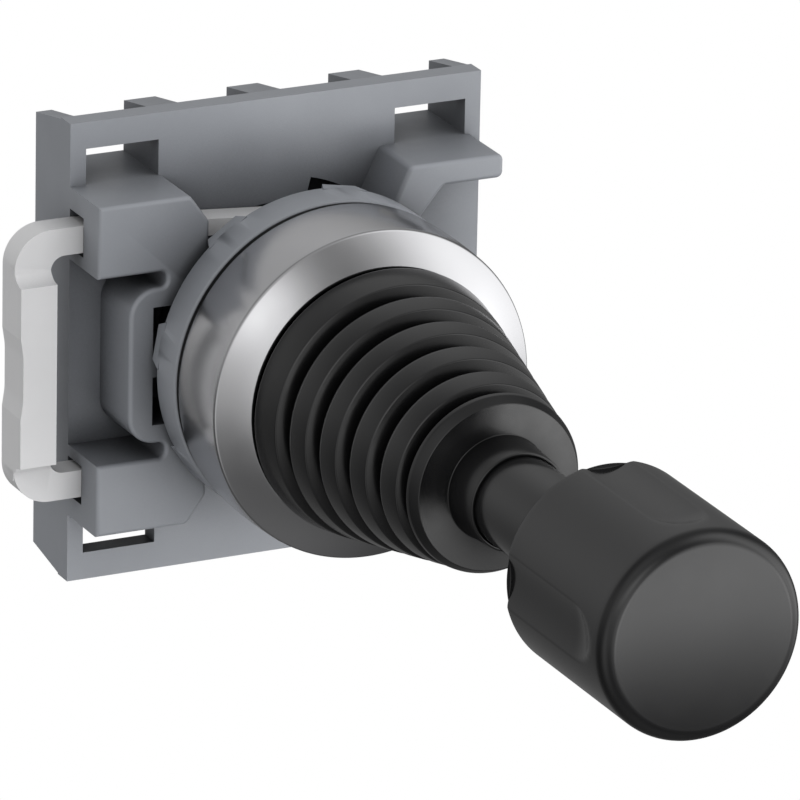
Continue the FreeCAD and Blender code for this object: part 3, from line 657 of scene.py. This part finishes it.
class Workshop:
    """Holds the frame's nodes and the materials, and dresses pieces."""

    def __init__(self, frame: dict) -> None:
        """Keep the frame and make the materials.
        """
        self.nodes = frame["nodes"]
        self.materials = {slot: surface(slot.value, FINISHES[slot]) for slot in Slot}
        parts = frame["record"]["subparts"]
        self.slots = {part["node"]: Slot(part["material_slot"]) for part in parts}

    def dress(self, thing: bpy.types.Object, slot: Slot) -> None:
        """Give an object one slot's material.

        Args:
            thing: the object.
            slot: the material slot.
        """
        thing.data.materials.clear()
        thing.data.materials.append(self.materials[slot])

    def dress_nodes(self) -> None:
        """Give every CAD node its material."""
        for name, node in self.nodes.items():
            self.dress(node, self.slots[name])
            LOG.info("dressed %s", name)

    def stand_for(self, thing: bpy.types.Object, node: str, body: Body) -> bpy.types.Object:
        """Show an object in place of a CAD node.

        Args:
            thing: the object.
            node: the CAD node that it replaces.
            body: the body that carries it.

        Returns:
            The same object.
        """
        self.dress(thing, self.slots[node])
        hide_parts(node)
        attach(thing, body.value)
        LOG.info("made %s for %s", thing.name, node)
        return thing


@dataclass(frozen=True)
class SoftEdged:
    """A cast or moulded CAD node that is shown with rounded edges.

    Attributes:
        node: the CAD node.
        name: name of the piece that shows it.
        width: width of the rounding.
        body: the body that carries it.
    """

    node: str
    name: str
    width: float
    body: Body = Body.BASE

    def build(self, shop: Workshop) -> None:
        """Make the copy with rounded edges.

        Args:
            shop: the workshop that dresses it.
        """
        copy = merged_copy(shop.nodes[self.node], self.name)
        bevel(copy, self.width)
        shop.stand_for(copy, self.node, self.body)


SOFT_EDGED = (
    SoftEdged("holder", "holder_casting", 0.12),
    SoftEdged("locking_fork", "fork_moulding", 0.28, Body.FORK),
    SoftEdged("fixing_nut", "nut_casting", 0.12),
    SoftEdged("housing", "neck_casting", 0.12),
)


@dataclass(frozen=True)
class FrontRing:
    """Bright front ring with the black seal behind it.

    Attributes:
        radius: radius at both ends of its side.
        side: length of its side.
        opening: radius of the opening for the bellows.
        wall: thickness of its side.
        lip: thickness of the edge round the opening.
        swell: how far the side bulges at its middle.
        seal_gap: how far ahead of the panel plane its rear edge stands, on the seal.
        seat_wide: width of the ring's edge that stands on the seal.
        seal_wide: width of the seal.
        seal_step: width of the seal's raised rim.
    """

    radius: float = 15.0
    side: float = 7.6
    opening: float = 11.8
    wall: float = 1.3
    lip: float = 0.5
    swell: float = 0.12
    seal_gap: float = 0.18
    seat_wide: float = 1.25
    seal_wide: float = 4.0
    seal_step: float = 1.3

    def build(self, shop: Workshop) -> None:
        """Make the ring and the seal.

        Args:
            shop: the workshop that dresses them.
        """
        ring = turned("bezel_ring", fillet(self.ring_corners()), 360)
        shop.stand_for(ring, "bezel", Body.BASE)
        seal = turned("gasket_seal", fillet(self.seal_corners()))
        shop.stand_for(seal, "gasket", Body.BASE)
        # A darker, duller finish on the seal paints the gap's shade over its black rubber.
        seal.data.materials[0] = surface("seal_rubber_gap_shade", SEAL_GAP_SHADE_FINISH)

    def ring_corners(self) -> list[tuple[float, ...]]:
        """Work out the ring's section.

        At a share s of the side's length, its radius grows by swell (1 - (2 s - 1)^2). Ahead
        of the side, a cone leads to the opening's edge.

        Returns:
            The corners as (radius, ahead, rounding).
        """
        length = reach_ahead("bezel")
        bore = self.radius - self.wall
        along = np.linspace(0.0, self.side, 17)
        swell = self.swell * (1.0 - (2.0 * along / self.side - 1.0) ** 2)
        side = [(self.radius + grow, ahead) for grow, ahead in zip(swell, along)]
        side[-1] = (self.radius, self.side, 0.35)
        side[0] = (self.radius, self.seal_gap, 0.1)
        seat = self.radius - self.seat_wide
        return [
            (bore, 0.0),
            (seat, 0.0),
            (seat, self.seal_gap),
            *side,
            (self.opening, length, 0.25),
            (self.opening, length - self.lip, 0.1),
            (self.opening + self.lip, length - self.lip * 2),
            (bore, self.side - self.lip),
        ]

    def seal_corners(self) -> list[tuple[float, ...]]:
        """Work out the seal's section: a flat band with a raised rim.

        Returns:
            The corners as (radius, ahead, rounding).
        """
        outer = outer_radius("gasket")
        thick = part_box("gasket")[1].y / MM
        inner = self.radius - self.seal_wide
        step = self.radius - self.seal_step
        front = self.seal_gap * 0.9
        return [
            (inner, 0.0),
            (step, 0.0),
            (step, front),
            (outer, front, 0.05),
            (outer, -thick, thick / 3),
            (inner, -thick),
        ]


@dataclass(frozen=True)
class Bellows:
    """Rubber bellows with folds that get smaller towards a collar round the stem.

    Attributes:
        base_radius: radius of the base inside the front ring.
        base_start: where the base begins.
        base_end: where the base begins to widen.
        base_swell: radius of the base at the ring's opening.
        base_front: where the base has that radius.
        bend_start: where it begins to bend; not used.
        wall: thickness of the rubber.
        first: middle of the first fold.
        first_longer: how much sooner the first fold begins.
        pitch: distance between folds.
        crest: radius of the first fold.
        drop: how much smaller each next fold is.
        depth: depth of the grooves.
        land: length of a fold.
        groove: width of a groove's floor.
        folds: how many folds there are.
        top_radius: radius of the last edge.
        top: how far ahead that edge is.
        face_edge: outer radius of the flat front face.
        face_inner: inner radius of that face.
        face_rise: how far the face stands ahead of the last edge.
        face_behind: how far behind the last edge the inside begins to move backwards.
        face_blend: length over which it does so.
        collar: radius of the collar's end.
        collar_wall: thickness of the rubber there.
        rear_round: rounding of a fold's rear edge.
        front_round: rounding of a fold's front edge.
        valley_round: rounding of a groove's floor.
    """

    base_radius: float = 11.6
    base_start: float = 5.3
    base_end: float = 8.3
    base_swell: float = 11.74
    base_front: float = 9.1
    bend_start: float = 9.2
    wall: float = 0.5
    first: float = 11.6
    first_longer: float = 0.55
    pitch: float = 4.15
    crest: float = 11.95
    drop: float = 0.86
    depth: float = 1.9
    land: float = 2.5
    groove: float = 0.7
    folds: int = 5
    top_radius: float = 7.95
    top: float = 31.5
    face_edge: float = 7.45
    face_inner: float = 4.7
    face_rise: float = 0.75
    face_behind: float = 0.9
    face_blend: float = 0.8
    collar: float = 4.45
    collar_wall: float = 0.3
    rear_round: float = 0.6
    front_round: float = 0.2
    valley_round: float = 0.3

    def build(self, shop: Workshop) -> None:
        """Make the two lengths, which meet in the first groove.

        The inside is the outside moved inwards by the wall, and at the flat front face also
        backwards.

        Args:
            shop: the workshop that dresses them.
        """
        outside = self.profile()
        seam = self.first + self.pitch / 2
        split = int(np.argmin(np.abs(outside[:, 1] - seam)))
        spans = {"bellows_lower": outside[: split + 1], "bellows_upper": outside[split:]}
        made = []
        for name, span in spans.items():
            inside = span[::-1] - np.array([self.wall, 0.0])
            past = inside[:, 1] - self.top + self.face_behind
            inside[:, 1] -= self.wall * np.clip(past / self.face_blend, 0.0, 1.0)
            made.append(turned(name, np.vstack([span, inside]), 300))
        lower, upper = made
        for thing in made:
            shop.dress(thing, Slot.RUBBER)
        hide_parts("bellows")
        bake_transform(lower)
        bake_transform(upper)
        LOG.info("made bellows_lower and bellows_upper for bellows")

    def profile(self) -> np.ndarray:
        """Work out the outside, from the base to the end of the collar.

        Fold n has its middle at first + n pitch and the radius crest - n drop there. The radius
        falls by drop / pitch along all folds, and each groove lies midway between two folds.

        Returns:
            (radius, ahead) points.
        """
        end = reach_ahead("bellows")
        half = self.land / 2
        slope = self.drop / self.pitch
        corners: list[tuple[float, ...]] = [
            (self.base_radius, self.base_start),
            (self.base_radius, self.base_end, 0.2),
            (self.base_swell, self.base_front, 0.2),
        ]
        for fold in range(self.folds):
            crest = self.crest - self.drop * fold
            ahead = self.first + self.pitch * fold
            valley = crest - self.drop / 2 - self.depth
            middle = ahead + self.pitch / 2
            rear = ahead - half
            rounding = self.rear_round
            if fold == 0:
                rear -= self.first_longer
                rounding = self.valley_round
            corners += [
                (crest + slope * half, rear, rounding),
                (crest - slope * half, ahead + half, self.front_round),
                (valley, middle - self.groove / 2, self.valley_round),
                (valley, middle + self.groove / 2, self.valley_round),
            ]
        face = self.top + self.face_rise
        corners += [
            (self.top_radius + slope * 0.4, self.top - 0.55, 0.1),
            (self.top_radius, self.top - 0.1, 0.4),
            (self.face_edge, face, 0.1),
            (self.face_inner, face, 0.1),
            (self.collar, end, 0.15),
            (self.collar - self.collar_wall, end),
        ]
        return fillet(corners, closed=False)


@dataclass(frozen=True)
class Springs:
    """Plunger springs that are pressed together between guide and plunger.

    Attributes:
        sides: where the plungers are.
    """

    sides: tuple[str, ...] = ("left", "right", "top", "bottom")

    def build(self, shop: Workshop) -> None:
        """Make a copy of each spring that ends on the guide and on its plunger.

        Args:
            shop: the workshop that dresses them.
        """
        for side in self.sides:
            node = f"spring_{side}"
            spring = merged_copy(shop.nodes[node], f"coil_{side}")
            shop.dress(spring, shop.slots[node])
            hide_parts(node)
            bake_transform(spring)
            LOG.info("made %s for %s", spring.name, node)


@dataclass(frozen=True)
class Stem:
    """Black sleeve between the bellows and the knob.

    Attributes:
        edge_round: rounding of its outer edges.
    """

    edge_round: float = 0.2

    def build(self, shop: Workshop) -> None:
        """Make the sleeve round the lever's rod.

        Args:
            shop: the workshop that dresses it.
        """
        low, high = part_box("stem_sleeve")
        outer = outer_radius("stem_sleeve")
        inner = outer_radius("lever_rod")
        corners = [
            (inner, -high.y / MM),
            (outer, -high.y / MM, self.edge_round),
            (outer, -low.y / MM, self.edge_round),
            (inner, -low.y / MM),
        ]
        shop.stand_for(turned("stem_tube", fillet(corners)), "stem_sleeve", Body.STICK)


@dataclass(frozen=True)
class Knob:
    """Round knob with shallow hollows in its side.

    Attributes:
        start: where its rear face is.
        radius: its radius.
        bore_wall: how far its hole is wider than the lever's rod.
        front_round: rounding of the front edge.
        rear_round: rounding of the rear edge.
        dome: how far the front face bulges.
        flutes: how many hollows there are.
        flute_radius: radius of the tool that cuts them.
        flute_depth: their depth.
        flute_stop: how far behind the front face the tool's nose begins to rise.
        flute_reach: how far inwards from the side the tool can cut.
        segments: steps round the circle.
        step: longest step along the outline.
    """

    start: float = 51.8
    radius: float = 9.2
    bore_wall: float = 1.7
    front_round: float = 1.3
    rear_round: float = 0.3
    dome: float = 0.28
    flutes: int = 4
    flute_radius: float = 8.0
    flute_depth: float = 0.7
    flute_stop: float = 6.0
    flute_reach: float = 3.0
    segments: int = 480
    step: float = 0.5

    def build(self, shop: Workshop) -> None:
        """Turn the profile and cut the hollows.

        At an angle t from a hollow's middle, the tool's edge lies where
        r cos(t) = c - sqrt(f^2 - (r sin(t))^2), with f the tool's radius and c its distance.
        Past the stop, f shrinks along a circle, as the tool has a round nose.

        Args:
            shop: the workshop that dresses it.
        """
        end = reach_ahead("knob")
        profile = self.profile(end)
        turn = np.linspace(0.0, 2 * math.pi, self.segments, endpoint=False)
        radius = profile[:, 0][:, None] + 0.0 * turn[None, :]
        ahead = profile[:, 1][:, None] + 0.0 * turn[None, :]
        step = 2 * math.pi / self.flutes
        off = (turn + step / 2) % step - step / 2
        tool = self.radius + self.flute_radius - self.flute_depth
        past = np.clip(ahead - (end - self.flute_stop), 0.0, self.flute_radius)
        reach = np.sqrt(self.flute_radius**2 - past**2)
        sine = np.sin(off)[None, :]
        inside = np.clip(reach**2 - (tool * sine) ** 2, 0.0, None)
        wall = tool * np.cos(off)[None, :] - np.sqrt(inside)
        cut = (reach > tool * np.abs(sine)) & (wall < radius) & (ahead > self.start)
        near_side = radius > self.radius - self.flute_reach
        radius = np.where(cut & near_side, wall, radius)
        points = np.stack([radius * np.cos(turn), -ahead, radius * np.sin(turn)], axis=-1)
        knob = outward(grid_mesh("knob_body", points, False))
        shop.stand_for(knob, "knob", Body.STICK)

    def profile(self, end: float) -> np.ndarray:
        """Work out the outline, from the hole in the rear face to the middle of the front.

        At the radius r, the front face rises by dome (1 - (r / rim)^2).

        Args:
            end: how far ahead the knob reaches.

        Returns:
            (radius, ahead) points.
        """
        rim = self.radius - self.front_round
        outline = fillet(
            [
                (outer_radius("lever_rod") + self.bore_wall, self.start),
                (self.radius, self.start, self.rear_round),
                (self.radius, end - self.dome, self.front_round),
                (rim - 0.01, end - self.dome),
            ],
            steps=12,
            closed=False,
        )
        across = np.linspace(rim - 0.3, 0.02, 24)
        rise = self.dome * (1.0 - (across / rim) ** 2)
        face = np.stack([across, end - self.dome + rise], axis=1)
        return refine(np.vstack([outline[:-1], face]), self.step)


# Studio


def direction(azimuth: float, elevation: float) -> Vector:
    """Give the unit vector from the object towards a compass place.

    Args:
        azimuth: degrees round the object; 0 is the front.
        elevation: degrees above the horizon.

    Returns:
        The unit vector (sin a cos e, -cos a cos e, sin e).
    """
    turn = math.radians(azimuth)
    rise = math.radians(elevation)
    level = math.cos(rise)
    return Vector((math.sin(turn) * level, -math.cos(turn) * level, math.sin(rise)))


@dataclass(frozen=True)
class Camera:
    """Viewpoint of the photograph, fitted to the outlines of the round pieces.

    Attributes:
        azimuth: degrees round the object.
        elevation: degrees above the horizon.
        roll: how far the camera is turned about its own axis, in degrees.
        distance: distance from the target.
        target: the point at the middle of the picture.
        focal_px: focal length in pixels of the photograph.
        image_px: width of the photograph in pixels.
        sensor_mm: width of the sensor.
        near_m: nearest distance shown, in metres.
        far_m: farthest distance shown, in metres.
    """

    azimuth: float = -26.12
    elevation: float = 20.11
    roll: float = 1.20
    distance: float = 816.46
    target: tuple[float, float, float] = (6.42, 0.0, -3.97)
    focal_px: float = 9332.0
    image_px: float = 800.0
    sensor_mm: float = 36.0
    near_m: float = 0.05
    far_m: float = 20.0

    def place(self) -> None:
        """Make the scene's camera at this viewpoint."""
        back = direction(self.azimuth, self.elevation)
        turn = math.radians(self.azimuth)
        right = Vector((math.cos(turn), math.sin(turn), 0.0))
        up = back.cross(right)
        roll = math.radians(self.roll)
        across = right * math.cos(roll) + up * math.sin(roll)
        upward = up * math.cos(roll) - right * math.sin(roll)
        data = bpy.data.cameras.new("photo_camera")
        data.sensor_width = self.sensor_mm
        data.lens = self.focal_px / self.image_px * self.sensor_mm
        data.clip_start = self.near_m
        data.clip_end = self.far_m
        data.dof.use_dof = False
        camera = bpy.data.objects.new("photo_camera", data)
        matrix = camera.matrix_world.copy()
        place = Vector(self.target) + back * self.distance
        for row in range(3):
            matrix[row] = (across[row], upward[row], back[row], place[row] * MM)
        camera.matrix_world = matrix
        bpy.context.scene.collection.objects.link(camera)
        bpy.context.scene.camera = camera


@dataclass(frozen=True)
class Glow:
    """A soft patch of light in the studio's surroundings.

    Attributes:
        azimuth: where its middle is, round the object, in degrees.
        elevation: the same, above the horizon.
        spread: angle from its middle to where it has half its strength.
        strength: how bright its middle is.
    """

    azimuth: float
    elevation: float
    spread: float
    strength: float


# The first twenty strengths were solved for by a program, from one render for each patch, so
# that together they come near to the photograph's brightness. The last four were set one by
# one.
GLOWS = (
    Glow(0.0, 75.0, 34.0, 0.30),
    Glow(-60.0, 42.0, 22.0, 0.58),
    Glow(-20.0, 42.0, 16.0, 0.21),
    Glow(50.0, 42.0, 18.0, 1.55),
    Glow(160.0, 42.0, 28.0, 0.60),
    Glow(-150.0, 14.0, 24.0, 0.58),
    Glow(-100.0, 14.0, 20.0, 0.35),
    Glow(-60.0, 14.0, 16.0, 0.45),
    Glow(-35.0, 14.0, 12.0, 0.88),
    Glow(-15.0, 14.0, 12.0, 1.60),
    Glow(48.0, 14.0, 14.0, 1.24),
    Glow(72.0, 12.0, 14.0, 0.85),
    Glow(-60.0, -10.0, 16.0, 0.58),
    Glow(-30.0, -10.0, 12.0, 0.42),
    Glow(0.0, -10.0, 14.0, 1.40),
    Glow(55.0, -10.0, 14.0, 1.93),
    Glow(85.0, -10.0, 16.0, 1.59),
    Glow(-60.0, -32.0, 18.0, 0.44),
    Glow(0.0, -65.0, 24.0, 0.19),
    Glow(180.0, -35.0, 40.0, 0.18),
    Glow(28.0, -4.0, 9.0, 1.50),
    Glow(15.0, -17.0, 6.0, 3.00),
    Glow(28.0, -17.0, 6.0, 2.40),
    Glow(41.0, -17.0, 6.0, 2.70),
)


@dataclass(frozen=True)
class Studio:
    """White surroundings for the camera, and soft light for the pieces.

    Attributes:
        glows: the patches of light.
        floor_drop: how far the floor lies below the object.
        floor_half: half of the floor's width.
    """

    glows: tuple[Glow, ...] = GLOWS
    floor_drop: float = 60.0
    floor_half: float = 1500.0

    def make_world(self) -> None:
        """White for the camera, and soft patches of light that fall on the pieces.

        At an angle t from its middle, a patch has strength * e^(k (cos t - 1)), with
        k = ln 2 / (1 - cos spread).
        """
        world = bpy.data.worlds.new("studio")
        bpy.context.scene.world = world
        world.use_nodes = True
        sky = Tree(world.node_tree)
        output = sky.add("ShaderNodeOutputWorld")
        place = sky.add("ShaderNodeTexCoord")
        total = None
        for glow in self.glows:
            cosine = sky.add("ShaderNodeVectorMath", operation="DOT_PRODUCT")
            cosine.inputs[1].default_value = tuple(direction(glow.azimuth, glow.elevation))
            sky.link(place.outputs["Generated"], cosine.inputs[0])
            k = math.log(2.0) / (1.0 - math.cos(math.radians(glow.spread)))
            fall = sky.math("SUBTRACT", cosine.outputs["Value"], 1.0)
            share = sky.math("EXPONENT", sky.math("MULTIPLY", fall, k))
            patch = sky.math("MULTIPLY", share, glow.strength)
            total = patch if total is None else sky.math("ADD", total, patch)
        soft = sky.add("ShaderNodeBackground")
        soft.inputs["Color"].default_value = WHITE
        sky.link(total, soft.inputs["Strength"])
        white = sky.add("ShaderNodeBackground")
        white.inputs["Color"].default_value = WHITE
        white.inputs["Strength"].default_value = 1.0
        both = sky.for_camera(white.outputs["Background"], soft.outputs["Background"])
        sky.link(both, output.inputs["Surface"])

    def make_floor(self, lowest: float) -> None:
        """A pale floor below the object, pure white to the camera as in the photograph.

        Args:
            lowest: height of the object's lowest point in metres.
        """
        half = self.floor_half * MM
        height = lowest - self.floor_drop * MM
        sides = ((-half, -half), (half, -half), (half, half), (-half, half))
        mesh = bpy.data.meshes.new("floor")
        mesh.from_pydata([(x, y, height) for x, y in sides], [], [(0, 1, 2, 3)])
        floor = bpy.data.objects.new("floor", mesh)
        bpy.context.scene.collection.objects.link(floor)
        shader = Shader("pale_floor")
        clear = shader.add("ShaderNodeBsdfTransparent")
        glow = shader.add("ShaderNodeEmission")
        glow.inputs["Color"].default_value = WHITE
        both = shader.for_camera(glow.outputs["Emission"], clear.outputs["BSDF"])
        shader.link(both, shader.output.inputs["Surface"])
        mesh.materials.append(shader.material)
        floor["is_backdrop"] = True


def note_bounds() -> list[list[float]]:
    """Read the shown object's box as plain lists."""
    low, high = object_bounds()
    return [list(low), list(high)]


def main() -> None:
    """Build the scene on the frame."""
    logging.basicConfig(level=logging.INFO, format="%(name)s: %(message)s")
    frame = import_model()
    before = note_bounds()
    shop = Workshop(frame)
    shop.dress_nodes()
    for piece in (*SOFT_EDGED, FrontRing(), Bellows(), Springs(), Stem(), Knob()):
        piece.build(shop)
    Camera().place()
    studio = Studio()
    studio.make_world()
    studio.make_floor(before[0][2])
    bpy.context.scene.view_settings.view_transform = "Standard"


if __name__ == "__main__":
    main()
